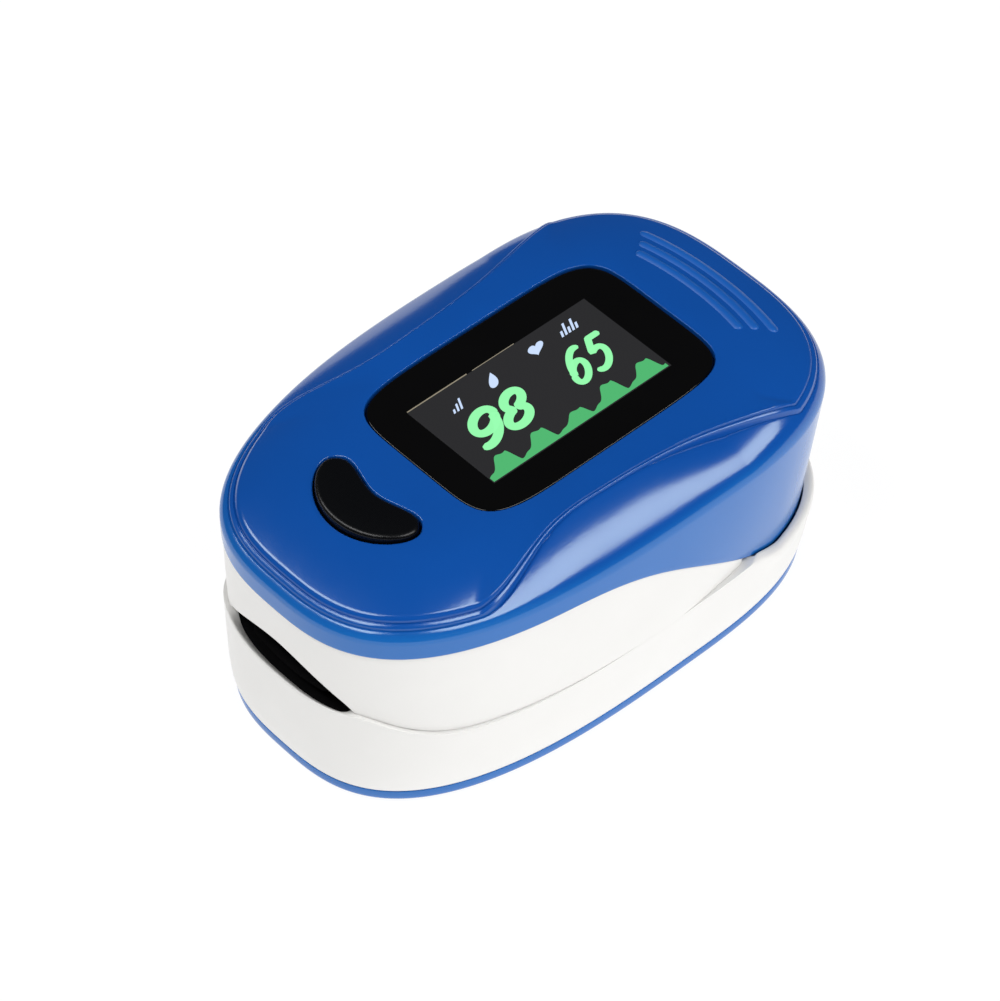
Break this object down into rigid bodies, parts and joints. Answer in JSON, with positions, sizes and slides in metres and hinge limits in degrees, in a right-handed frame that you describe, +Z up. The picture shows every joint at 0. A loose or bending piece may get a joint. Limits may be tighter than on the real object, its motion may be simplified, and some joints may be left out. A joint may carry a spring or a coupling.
{
  "type": "fingertip pulse oximeter",
  "caption": "Clip-on fingertip pulse oximeter: two sprung jaws on a rear hinge, a soft finger channel, a display window and a push button on top, and a sliding battery door below.",
  "frame": {"origin": "on the resting surface, under the middle of the body's length and width", "axes": "+Z up, +Y along the body from the finger mouth to the hinge end, +X across it"},
  "size_m": [0.0394, 0.0621, 0.0281],
  "materials": {
    "blue_plastic": "glossy moulded",
    "white_plastic": "satin moulded",
    "pad_rubber": "matt",
    "black_plastic": "satin",
    "dark_window": "polished",
    "clear_lens": "clear",
    "circuit_board": "lacquered",
    "amber_flex": "film",
    "steel": "plain",
    "cell_jacket": "printed jacket"
  },
  "bodies": {
    "lower_jaw": {"lower_housing": "white_plastic", "battery_frame": "white_plastic", "lower_finger_pad": "pad_rubber", "sensor_window": "clear_lens", "photodiode": "black_plastic", "sensor_board": "circuit_board", "sensor_flex": "amber_flex", "cell_left": "cell_jacket", "cell_right": "cell_jacket", "front_contact": "steel", "rear_contact_left": "steel", "rear_contact_right": "steel", "contact_spring_left": "steel", "contact_spring_right": "steel", "hinge_pin": "steel", "torsion_spring": "steel", "frame_screw_1": "steel", "frame_screw_2": "steel", "frame_screw_3": "steel", "frame_screw_4": "steel"},
    "upper_jaw": {"top_cover": "blue_plastic", "upper_housing": "white_plastic", "upper_finger_pad": "pad_rubber", "light_window": "clear_lens", "light_emitter": "black_plastic", "emitter_flex": "amber_flex", "jaw_flex": "amber_flex", "display_window": "dark_window", "display_panel": "dark_window", "display_holder": "black_plastic", "main_board": "circuit_board", "processor_chip": "black_plastic", "display_driver_chip": "black_plastic", "sensor_amplifier_chip": "black_plastic", "clock_crystal": "steel", "sensor_connector": "black_plastic", "beeper": "black_plastic", "tact_switch": "black_plastic", "cover_screw_1": "steel", "cover_screw_2": "steel", "cover_screw_3": "steel", "cover_screw_4": "steel"},
    "button": {"power_button": "black_plastic"},
    "plunger": {"switch_plunger": "steel"},
    "door": {"battery_door": "blue_plastic"}
  },
  "joints": [
    {"name": "jaw_hinge", "type": "hinge", "parent": "lower_jaw", "child": "upper_jaw", "pos_m": [0, 0.016, 0.0144], "axis": [-1, 0, 0], "range_deg": [0, 14], "stiffness_Nm_per_rad": 0.15, "springref_deg": -14.32},
    {"name": "button_press", "type": "slide", "parent": "upper_jaw", "child": "button", "axis": [0, 0, -1], "range_m": [0, 0.0005], "stiffness_N_per_m": 250, "springref_m": -0.001},
    {"name": "plunger_press", "type": "slide", "parent": "upper_jaw", "child": "plunger", "axis": [0, 0, -1], "range_m": [0, 0.0005]},
    {"name": "battery_door_slide", "type": "slide", "parent": "lower_jaw", "child": "door", "axis": [0, 1, 0], "range_m": [0, 0.046]}
  ],
  "couplings": [
    {"joint": "plunger_press", "follows": "button_press", "ratio": 1}
  ]
}
